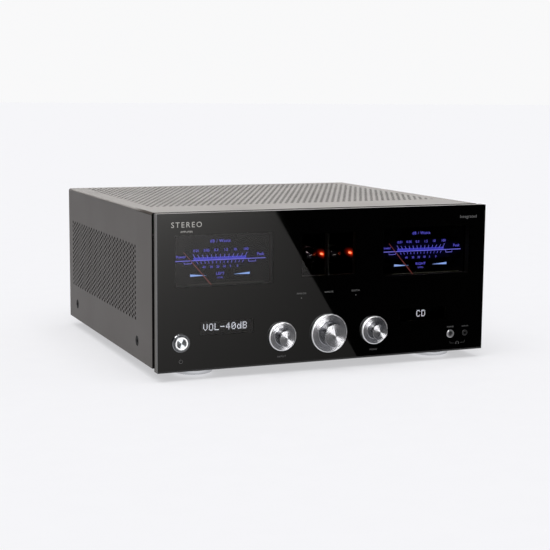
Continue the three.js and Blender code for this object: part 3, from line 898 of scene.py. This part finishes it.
# %% Set type and rules
def add_type(bm, words, x, depth, height, size, spacing=1.0):
    """Adds centred words to a bmesh. The size is the height of a capital, in millimetres."""
    curve = bpy.data.curves.new("type", "FONT")
    curve.body = words
    curve.size = size / 0.7 * MM
    curve.space_character = spacing
    curve.align_x = "CENTER"
    curve.align_y = "CENTER"
    curve.resolution_u = 3
    curve.extrude = 0.01 * MM
    block = bpy.data.objects.new("type", curve)
    scene.collection.objects.link(block)
    bpy.context.view_layer.update()
    ready = block.evaluated_get(bpy.context.evaluated_depsgraph_get())
    mesh = bpy.data.meshes.new_from_object(ready)
    bpy.data.objects.remove(block)
    mesh.transform(Matrix.Translation(at(x, depth, height)) @ Matrix.Rotation(math.pi / 2, 4, "X"))
    bm.from_mesh(mesh)
    bpy.data.meshes.remove(mesh)


def add_rule(bm, start, end, depth, wide, wide_end=None):
    """Adds a thin straight rule between two (X, height) places, tapered if wide_end is given."""
    start, end = Vector(start), Vector(end)
    along = end - start
    across = Vector((-along.y, along.x)).normalized() / 2
    wide_end = wide if wide_end is None else wide_end
    corners = [start + across * wide, start - across * wide]
    corners += [end - across * wide_end, end + across * wide_end]
    face = bm.faces.new([bm.verts.new(at(p.x, depth - 0.01, p.y)) for p in corners])
    made = bmesh.ops.extrude_face_region(bm, geom=[face])["geom"]
    verts = [item for item in made if isinstance(item, bmesh.types.BMVert)]
    bmesh.ops.translate(bm, verts=verts, vec=(0, 0.02 * MM, 0))


def closed(bm):
    """Merges doubled points of type and rules and turns their faces outwards."""
    bmesh.ops.remove_doubles(bm, verts=bm.verts, dist=0.0005 * MM)
    bmesh.ops.recalc_face_normals(bm, faces=bm.faces)
    return bm


def add_ring(bm, x, height, radius, wide, start=0.0, sweep=360.0, steps=20):
    """Adds part of a thin ring on the front, made of short rules."""
    angles = [math.radians(start + sweep * index / steps) for index in range(steps + 1)]
    spots = [(x + radius * math.sin(a), height + radius * math.cos(a)) for a in angles]
    for pair in zip(spots, spots[1:]):
        add_rule(bm, *pair, LABEL_DEPTH, wide)


LABEL_DEPTH = -0.03
print("labels lie", -LABEL_DEPTH, "mm in front of the glass")

# %% [markdown]
# The front names its controls in small grey capitals. Three lamps' names stand above the big
# knob, a power sign under the button, and a sign for headphones under the two sockets. Only the
# title at the top left is larger and paler, so it is a piece of its own.

# %% Labels on the front
KNOBS = {name: middle(f"{name}_knob") for name in ("input", "volume", "menu")}
POWER_X, _, CONTROL_HEIGHT = middle("power_button")
PHONES_X, AUX_X = middle("headphone_jack")[0], middle("aux_jack")[0]
labels = bmesh.new()
for words, x, height, size, spacing in (
    ("Integrated", 190.5, 168.8, 3.9, 1.05),
    ("INPUT", KNOBS["input"][0], 9.3, 2.2, 1.35),
    ("MENU", KNOBS["menu"][0], 9.3, 2.2, 1.35),
    ("ANALOG", -36.0, 83.6, 2.0, 1.1),
    ("REMOTE", 0.0, 83.6, 2.0, 1.1),
    ("DIGITAL", 36.0, 83.6, 2.0, 1.1),
    ("PHONES", PHONES_X, 30.4, 1.8, 1.0),
    ("AUX IN", AUX_X, 30.4, 1.8, 1.1),
):
    add_type(labels, words, x, LABEL_DEPTH, height, size, spacing)
add_ring(labels, POWER_X, 12.2, 2.2, 0.32, start=32, sweep=296)
add_rule(labels, (POWER_X, 12.6), (POWER_X, 15.0), LABEL_DEPTH, 0.32)
for x in (-36.0, 36.0):
    add_ring(labels, x, 78.2, 0.55, 0.5, steps=12)
cups = (PHONES_X + AUX_X) / 2
add_ring(labels, cups, 9.6, 1.9, 0.3, start=-95, sweep=190)
for sign, jack in ((-1, PHONES_X), (1, AUX_X)):
    add_rule(labels, (cups + sign * 1.9, 8.0), (cups + sign * 1.9, 10.0), LABEL_DEPTH, 0.8)
    add_rule(labels, (cups + sign * 4.0, 9.6), (jack, 9.6), LABEL_DEPTH, 0.15)
    add_rule(labels, (jack, 9.6), (jack, 12.4), LABEL_DEPTH, 0.15)
settle(closed(labels), "front_labels", grey_ink)
title = bmesh.new()
add_type(title, "STEREO", -179.8, LABEL_DEPTH, 169.8, 6.2, 1.3)
add_type(title, "AMPLIFIER", -179.8, LABEL_DEPTH, 162.0, 2.1, 1.1)
settle(closed(title), "front_title", pale_ink)
print("labels set")

# %% [markdown]
# The cutter of a lathe leaves grooves half a millimetre apart. They are cut into the outline as a
# low wave with four points to each groove, because two points would average out to a flat face
# once it is shaded smooth. Light from one side then gathers into a bow tie, as it does on the
# real metal.

# %% A finely grooved line
GROOVE_PITCH, GROOVE_DEPTH = 0.52, 0.066


def turned_line(start, end, pitch=GROOVE_PITCH, depth=GROOVE_DEPTH):
    """Points from one (radius, depth) place to another along a finely grooved line."""
    start, end = Vector(start), Vector(end)
    along = end - start
    across = Vector((-along.y, along.x)).normalized()
    count = 4 * round(along.length / pitch)
    points = []
    for index in range(count + 1):
        wave = math.sin(index * math.pi / 2) * depth
        points.append(tuple(start + along * (index / count) + across * wave))
    return points


print("grooves are", GROOVE_PITCH, "mm apart")

# %% [markdown]
# A knob is a broad flange with a narrower barrel in front, all turned in one go. Its front, its flank and
# its flange are grooved, and only the rim of the flange is left plain, in a lighter copy of the metal
# that paints in its highlight.

# %% Knobs
BARRELS = {"input": 10.0, "volume": 14.2, "menu": 10.0}
HIGHLIGHT_RIM = 0.75


def knob(name):
    """A turned knob in place of the frame's plain one."""
    x, _, height = KNOBS[name]
    low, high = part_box(f"{name}_knob")
    flange = (high.x - low.x) / 2 / MM
    face, back = depths(f"{name}_knob")
    barrel = BARRELS[name]
    bore = [(0, face + 2), (3.3, face + 2), (3.3, back)]
    plate = turned_line((flange - 1.0, -4.0), (barrel + 0.9, -3.6))
    flank = turned_line((barrel, -4.6), (barrel, face + 0.9))
    front = turned_line((barrel - 0.5, face), (0.12, face))
    edge = [(flange - 0.25, back), (flange, back - 0.25), (flange, -3.2), (flange - 0.3, -3.8)]
    foot = [(barrel + 0.25, -3.8), (barrel + 0.05, -4.1)]
    bevel = [(barrel - 0.1, face + 0.3), (barrel - 0.3, face + 0.08)]
    outline = bore + edge + plate + foot + flank + bevel + front + [(0, face)]
    bm = lathe(outline, (x, height), steps=96)
    # The flange's rim takes the lighter copy of the metal, a painted highlight.
    parted(bm, x, height, flange - HIGHLIGHT_RIM)
    finishes = (turned_aluminium, painted_highlight_metal)
    piece = settle(bm, f"{name}_knob_turned", finishes, f"{name}_control", 60)
    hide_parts(f"{name}_knob")
    return piece


print("barrels", BARRELS)

# %% [markdown]
# A small dark mark on the barrel near its front edge shows where a knob points. It is a low
# cone with its top cut off, moved out to the barrel's surface and turned round the axis. Knob
# and mark ride on the same body, so they turn together.

# %% Marks on the knobs
MARK_ANGLES = {"input": 132, "volume": 138, "menu": 164}
MARK_DEPTH = 3.2


def mark(name, angle):
    """The mark of one knob. The angle is measured from the right-hand side."""
    x, _, height = KNOBS[name]
    face, _ = depths(f"{name}_knob")
    bm = bmesh.new()
    bmesh.ops.create_cone(
        bm, cap_ends=True, segments=16, radius1=1.2 * MM, radius2=0.9 * MM, depth=0.3 * MM
    )
    there = Matrix.Translation(at(x, face + MARK_DEPTH, height))
    outwards = Matrix.Rotation(math.radians(90 - angle), 4, "Y")
    raised = Matrix.Translation((0, 0, BARRELS[name] * MM))
    bmesh.ops.transform(bm, matrix=there @ outwards @ raised, verts=bm.verts)
    settle(bm, f"{name}_knob_dimple", black_plastic, f"{name}_control")


for name, angle in MARK_ANGLES.items():
    piece = knob(name)
    mark(name, angle)
    print(piece.name, "with its mark at", angle, "degrees")

# %% [markdown]
# The power button is a shallow grooved dish in a bright ring, with a grooved chamfer outside it. The
# ring's brightness is a painted highlight, a lighter copy of the metal.
# Its grooves are shallower than the knobs' and shaded with sharp edges, because a small button
# needs a stronger contrast between its bright wedge and its dark sides. The sockets at the right
# keep the shape they have in the frame.

# %% Power button
BUTTON, BUTTON_RING, BUTTON_DISH = 8.9, 7.4, 5.9


def power_button():
    """The button with its stem, in place of the frame's."""
    face, back = depths("power_button")
    stem = [(0, back), (2.5, back), (2.5, 5.0)]
    flank = [(BUTTON - 0.4, 5.0), (BUTTON, 4.6), (BUTTON, face + 1.0)]
    chamfer = turned_line(
        (BUTTON - 0.2, face + 0.5), (BUTTON_RING + 0.1, face + 0.15), pitch=0.3, depth=0.022
    )
    ring = [(BUTTON_RING, face), (BUTTON_DISH + 0.2, face), (BUTTON_DISH + 0.05, face + 0.15)]
    dish = turned_line((BUTTON_DISH, face + 0.35), (0.12, face + 0.45), pitch=0.46, depth=0.034)
    outline = stem + flank + chamfer + ring + dish + [(0, face + 0.45)]
    bm = lathe(outline, (POWER_X, CONTROL_HEIGHT), steps=96)
    # The ring takes the lighter copy of the metal, a painted highlight.
    parted(bm, POWER_X, CONTROL_HEIGHT, BUTTON_DISH, BUTTON_RING)
    finishes = (dark_turned, painted_highlight_metal)
    piece = settle(bm, "power_button_turned", finishes, "power_key", 25)
    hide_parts("power_button")
    return piece


print(power_button().name)

# %% [markdown]
# The meters are back-lit print on a dark dial. Each has a long base line, a fan of ticks over a
# glowing band, numbers above and below, and a pair of pale wedges that point to its name.

# %% Scale of a meter
DIAL_FRONT = depths("meter_dial_left")[0]
PRINT_DEPTH = DIAL_FRONT - 0.1
BASE_LINE, BASE_HALF, TICKS = 126.4, 57, 13


def add_scale(lines, text, x):
    """A base line, ticks above and below it, and a bracket near each end."""
    add_rule(lines, (x - BASE_HALF, BASE_LINE), (x + BASE_HALF, BASE_LINE), PRINT_DEPTH, 0.9)
    for index in range(TICKS):
        share = 2 * index / (TICKS - 1) - 1
        rise = 5.0 if abs(share) == 1 else 3.9
        foot = (x + share * 30.8, BASE_LINE + 2.6)
        add_rule(lines, foot, (foot[0] + share * 2.8, foot[1] + rise), PRINT_DEPTH, 0.6)
        high, low = (x + share * 29, BASE_LINE - 1.2), (x + share * 27.6, BASE_LINE - 4.0)
        add_rule(text, high, low, PRINT_DEPTH, 0.55)
    for sign in (-1, 1):
        near, far, low = x + sign * 35.5, x + sign * 44.5, BASE_LINE - 3.4
        bracket = [(near, BASE_LINE - 0.5), (near, low), (far, low), (far, BASE_LINE - 1.6)]
        for pair in zip(bracket, bracket[1:]):
            add_rule(lines, *pair, PRINT_DEPTH, 0.6)


print("print lies", round(PRINT_DEPTH, 1), "mm behind the glass's face")

# %% [markdown]
# The numbers above the scale are watts and those below are decibels. The middle names the
# channel, between two pale wedges. Four brightnesses of print make four pieces on each dial.

# %% Print of both meters
WATTS = {"0.01": -29.5, "0.05": -16.8, "0.3": -5, "1.5": 7, "10": 18.5, "100": 32}
DECIBELS = {"40": -20.2, "30": -11, "20": -3, "10": 5, "5": 12.6, "0": 21.6}


def add_words(text, x, name):
    """The words and numbers of one meter."""
    for words, off, height, size, spacing in (
        ("dB / Watts", 0, 148.4, 3.5, 1.15),
        ("Power", -48.2, BASE_LINE + 4.8, 3.2, 1.0),
        ("Peak", 50.5, BASE_LINE + 4.8, 3.4, 1.0),
        (name.upper(), 0, 110.0, 3.2, 1.1),
        ("LEVEL", 0, 105.4, 1.8, 1.2),
    ):
        add_type(text, words, x + off, PRINT_DEPTH, height, size, spacing)
    for words, off in WATTS.items():
        add_type(text, words, x + off, PRINT_DEPTH, BASE_LINE + 11.4, 3.0)
    for words, off in DECIBELS.items():
        add_type(text, words, x + off, PRINT_DEPTH, BASE_LINE - 8.2, 2.6)


def meter_print(name, x):
    """The four brightnesses of print on one dial."""
    lines, text, band, wedges = (bmesh.new() for _ in range(4))
    add_scale(lines, text, x)
    add_words(text, x, name)
    band_height = BASE_LINE + 1.9
    add_rule(band, (x - 33.0, band_height), (x + 32.5, band_height), PRINT_DEPTH + 0.03, 3.2)
    for sign in (-1, 1):
        add_rule(wedges, (x + sign * 37, 109.2), (x + sign * 17, 108.6), PRINT_DEPTH, 2.7, 0.15)
    for kind, bm, finish in (
        ("scale", lines, violet_line),
        ("lettering", text, violet_text),
        ("band", band, violet_band),
        ("wedges", wedges, sky_wedge),
    ):
        settle(closed(bm), f"meter_{kind}_{name}", finish)


for name, side in SIDES.items():
    meter_print(name, side * METER_X)
print("meters printed")

# %% [markdown]
# A little light shows along the top and the bottom of each dial. Two thin dull rules behind the edges of
# the window glow to paint that light in, though they are no lamp.

# %% Painted light along the edges of the dials
EDGE_GLOW_DEPTH = 16.6
edge_glow = bmesh.new()
for side in SIDES.values():
    for start, end, off in ((-22, 52, 29.2), (-40, 55, -29.4)):
        x, height = side * METER_X, METER_MIDDLE + off
        add_rule(edge_glow, (x + start, height), (x + end, height), EDGE_GLOW_DEPTH, 0.7)
settle(closed(edge_glow), "meter_painted_edge_glow", painted_edge_glow)
print("trim laid")

# %% [markdown]
# The displays are dot-matrix modules. Each character is a grid of five by seven dots, written
# below as seven rows, and every lit dot is a small raised square.

# %% Dot-matrix displays
DOT_ROWS = {
    "V": "10001 10001 10001 10001 10001 01010 00100",
    "O": "01110 10001 10001 10001 10001 10001 01110",
    "L": "10000 10000 10000 10000 10000 10000 11111",
    "-": "00000 00000 00000 11111 00000 00000 00000",
    "4": "00010 00110 01010 10010 11111 00010 00010",
    "0": "01110 10001 10011 10101 11001 10001 01110",
    "d": "00001 00001 01101 10011 10001 10011 01101",
    "B": "11110 10001 10001 11110 10001 10001 11110",
    "C": "01110 10001 10000 10000 10000 10001 01110",
    "D": "11110 10001 10001 10001 10001 10001 11110",
}
DOT_PITCH, ROW_PITCH, LETTER_PITCH = 1.06, 1.18, 7.02
DOT_SIDE = 0.76


def lit_dots(words):
    """The places of the lit dots, from the middle of the first letter."""
    for place, letter in enumerate(words):
        for row, dots in enumerate(DOT_ROWS[letter].split()):
            for column, lit in enumerate(dots):
                if lit == "1":
                    yield place * LETTER_PITCH + (column - 2) * DOT_PITCH, (3 - row) * ROW_PITCH


def dot_matrix(name, words):
    """The lit dots of one display, just in front of its screen."""
    x, _, height = middle(f"display_{name}")
    front = depths(f"display_{name}")[0] - 0.05
    first = x - (len(words) - 1) * LETTER_PITCH / 2
    bm = bmesh.new()
    for across, up in lit_dots(words):
        left, right = (first + across + sign * DOT_SIDE / 2 for sign in (-1, 1))
        tall = DOT_SIDE * ROW_PITCH / DOT_PITCH
        add_rule(bm, (left, height + up), (right, height + up), front, tall)
    settle(closed(bm), f"display_dots_{name}", white_dots)


for name, words in (("left", "VOL-40dB"), ("right", "CD")):
    dot_matrix(name, words)
print("displays lit")

# %% [markdown]
# The tubes lie with their domes to the glass. A tube is a thin glass bulb with a dark getter
# mirror inside its dome and grey plates behind it. Each is a closed outline, turned.

# %% Tubes
TUBE_TAIL = 67.0
getter_mirror = grained("getter_mirror", tint(20, 20, 22), 0.10, 1.0, depth=0.0)
dark_plate = grained("tube_plate", tint(58, 56, 54), 0.5, 0.6)


def tube(name):
    """Bulb, getter mirror and plates of one tube."""
    x, _, height = middle(f"tube_{name}")
    low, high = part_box(f"tube_{name}")
    tip, tail = measured(low)[1], TUBE_TAIL
    radius = (high.x - low.x) / 2 / MM
    bulb = [(0, tip), (1.6, tip + 0.3), (3.2, tip + 1.2), (5.6, tip + 2.4), (8.0, tip + 4.4)]
    bulb += [(10.0, tip + 7.4), (radius, tip + 11.5), (radius, tail - 3), (radius - 1.5, tail), (0, tail)]
    glass = settle(lathe(bulb, (x, height), 48), f"tube_bulb_{name}", tube_glass)
    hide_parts(f"tube_{name}")
    mirror = [(0, tip + 2.2), (3.0, tip + 3.2), (5.4, tip + 4.4), (7.4, tip + 6.4), (8.6, tip + 9)]
    mirror += [(8.2, tip + 9.2), (7.0, tip + 7), (5.0, tip + 5.2), (0, tip + 3)]
    settle(lathe(mirror, (x, height), 40), f"tube_getter_{name}", getter_mirror)
    plates = [(0, tip + 12), (7.6, tip + 12), (8.6, tip + 12.4), (8.6, tip + 13), (6.4, tip + 13.2)]
    plates += [(6.4, tail - 12), (8.6, tail - 11.6), (8.6, tail - 11), (0, tail - 11)]
    settle(lathe(plates, (x, height), 24), f"tube_plates_{name}", dark_plate)


for name in SIDES:
    tube(name)
print("tubes in")

# %% [markdown]
# Each tube is lit by a small amber lamp on the wall at its right. The lamp is a capsule, and the
# light that it throws on the wall is a glow that dies away with the distance from it. The glow
# is longer than it is tall, because the capsule lies along the wall.

# %% Amber lamps
LAMP_HEIGHT, LAMP_DEPTH = 127.6, 18.5
GLOW_REACH, GLOW_SHAPE = 2.9 * MM, Vector((1, 0.42, 1.25))
PLATE_DEPTH, PLATE_HEIGHT = 29.5, 128.0
PLATE_SIZE = (0.2 * MM, 32 * MM, 40 * MM)


def lamp_glow(name, x):
    """Light thrown on the wall round one lamp."""
    finish = Finish(f"amber_wall_glow_{name}")
    centre = at(x, LAMP_DEPTH, LAMP_HEIGHT)
    here = finish.place(shift=tuple(-centre * GLOW_SHAPE), scale=tuple(GLOW_SHAPE))
    away = finish.node("ShaderNodeVectorMath", {"operation": "LENGTH"}, {0: here}, 1)
    ratio = finish.maths("DIVIDE", away, GLOW_REACH)
    fall = finish.maths("DIVIDE", 1.0, ratio * ratio + 1.0)
    hot = finish.mix(fall, (0.6, 0.010, 0.002, 1), (1.0, 0.06, 0.010, 1))
    near = finish.maths("MAXIMUM", fall * fall - 0.012, 0.0)
    return finish.surface(
        Base_Color=tint(6, 5, 5),
        Roughness=0.7,
        Specular_IOR_Level=0.0,
        Emission_Color=finish.mix(near, BLACK, hot),
        Emission_Strength=3.2,
    )


def amber_lamp(name, wall):
    """A small capsule on the wall of a tube's cell with its glow behind it."""
    ends = ((0, 3.0), (0.6, 2.8), (1.0, 2.2), (1.15, 1.2), (1.15, 0))
    front = [(radius, LAMP_DEPTH - away) for radius, away in ends]
    rear = [(radius, LAMP_DEPTH + away) for radius, away in reversed(ends)]
    capsule = lathe(front + rear, (wall - 1.2, LAMP_HEIGHT), 24)
    settle(capsule, f"amber_lamp_{name}", amber_glow)
    plate = bmesh.new()
    place = Matrix.Translation(at(wall - 0.15, PLATE_DEPTH, PLATE_HEIGHT))
    bmesh.ops.create_cube(plate, size=1, matrix=place @ Matrix.Diagonal((*PLATE_SIZE, 1)))
    edges = plate.edges[:]
    bmesh.ops.bevel(
        plate, geom=edges, offset=0.04 * MM, segments=1, profile=0.5, affect="EDGES", material=-1
    )
    settle(plate, f"amber_glow_{name}", lamp_glow(name, wall))


for name, wall in (("left", -1.2), ("right", 36.8)):
    amber_lamp(name, wall)
print("lamps lit")

# %% [markdown]
# The line sockets at the back are black stubs in the frame. On the real thing each has a gold
# collar and a coloured ring of plastic round its opening, white for the left channel and red for
# the right. Both are small rings, turned on the same lathe from a closed outline.

# %% Collars of the line sockets
SOCKET_X, _, SOCKET_HEIGHT = middle("line_sockets")
SOCKET_PITCH, SOCKET_ROWS = 25, {11: ("left", white_plastic), -11: ("right", red_plastic)}
SOCKET_END = depths("line_sockets")[1]
STUB_RADIUS, BORE_RADIUS = 4.1, 1.7


def ring_row(name, height, inner, outer, near, far, finish):
    """Five equal rings round one row of sockets, as one piece."""
    outline = [(inner, near), (outer - 0.2, near), (outer, near + 0.2), (outer, far - 0.2)]
    outline += [(outer - 0.2, far), (inner, far), (inner, near)]
    row = bmesh.new()
    for index in range(-2, 3):
        ring = lathe(outline, (SOCKET_X + index * SOCKET_PITCH, height), 32)
        mesh = bpy.data.meshes.new("ring")
        ring.to_mesh(mesh)
        ring.free()
        row.from_mesh(mesh)
        bpy.data.meshes.remove(mesh)
    settle(row, name, finish)


for rise, (name, plastic) in SOCKET_ROWS.items():
    height = SOCKET_HEIGHT + rise
    collar = (STUB_RADIUS + 0.02, STUB_RADIUS + 0.7, SOCKET_END - 7.0, SOCKET_END - 0.6)
    ring_row(f"socket_collars_{name}", height, *collar, gold_plate)
    ring = (BORE_RADIUS, STUB_RADIUS - 0.2, SOCKET_END + 0.02, SOCKET_END + 0.5)
    ring_row(f"socket_rings_{name}", height, *ring, plastic)
print("socket collars on")

# %% [markdown]
# The feet are turned from metal with a polished rim and a soft tread below it. Only the rim shows under
# the front edge, as a bright arc. The tread's pale colour is a painted reflection of the floor under the
# foot. Their axis is upright, so they are spun about Z.

# %% Feet
STEM, TREAD = 9 * MM, 2.95 * MM


def foot(node):
    """A polished ring on a rubber stem, in place of one foot."""
    low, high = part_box(node)
    radius = (high.x - low.x) / 2
    centre = (low + high) / 2
    outline = [(0, low.z), (STEM - 0.6 * MM, low.z), (STEM, low.z + 0.6 * MM)]
    outline += [(STEM, low.z + 2.9 * MM), (radius - 1.6 * MM, low.z + 3.0 * MM)]
    outline += [(radius - 0.4 * MM, low.z + 3.6 * MM), (radius, low.z + 4.8 * MM)]
    outline += [(radius, high.z - 3.4 * MM), (radius - 0.5 * MM, high.z - 2.4 * MM)]
    outline += [(radius - 2 * MM, high.z), (0, high.z)]
    bm = spun([(out, 0, z) for out, z in outline], (0, 0, 1), 64)
    bmesh.ops.translate(bm, verts=bm.verts, vec=(centre.x, centre.y, 0))
    for face in bm.faces:
        # The tread's pale colour is a painted reflection.
        face.material_index = int(face.calc_center_median().z < low.z + TREAD)
    piece = settle(bm, f"{node}_turned", (polished_chrome, tread_and_painted_reflection))
    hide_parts(node)
    return piece


for node in sorted(name for name in frame["nodes"] if name.startswith("foot_")):
    print(foot(node).name)

# %% Finish
size = {"cad": cad_size, "visual": [list(corner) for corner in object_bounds()]}
print("size", size)
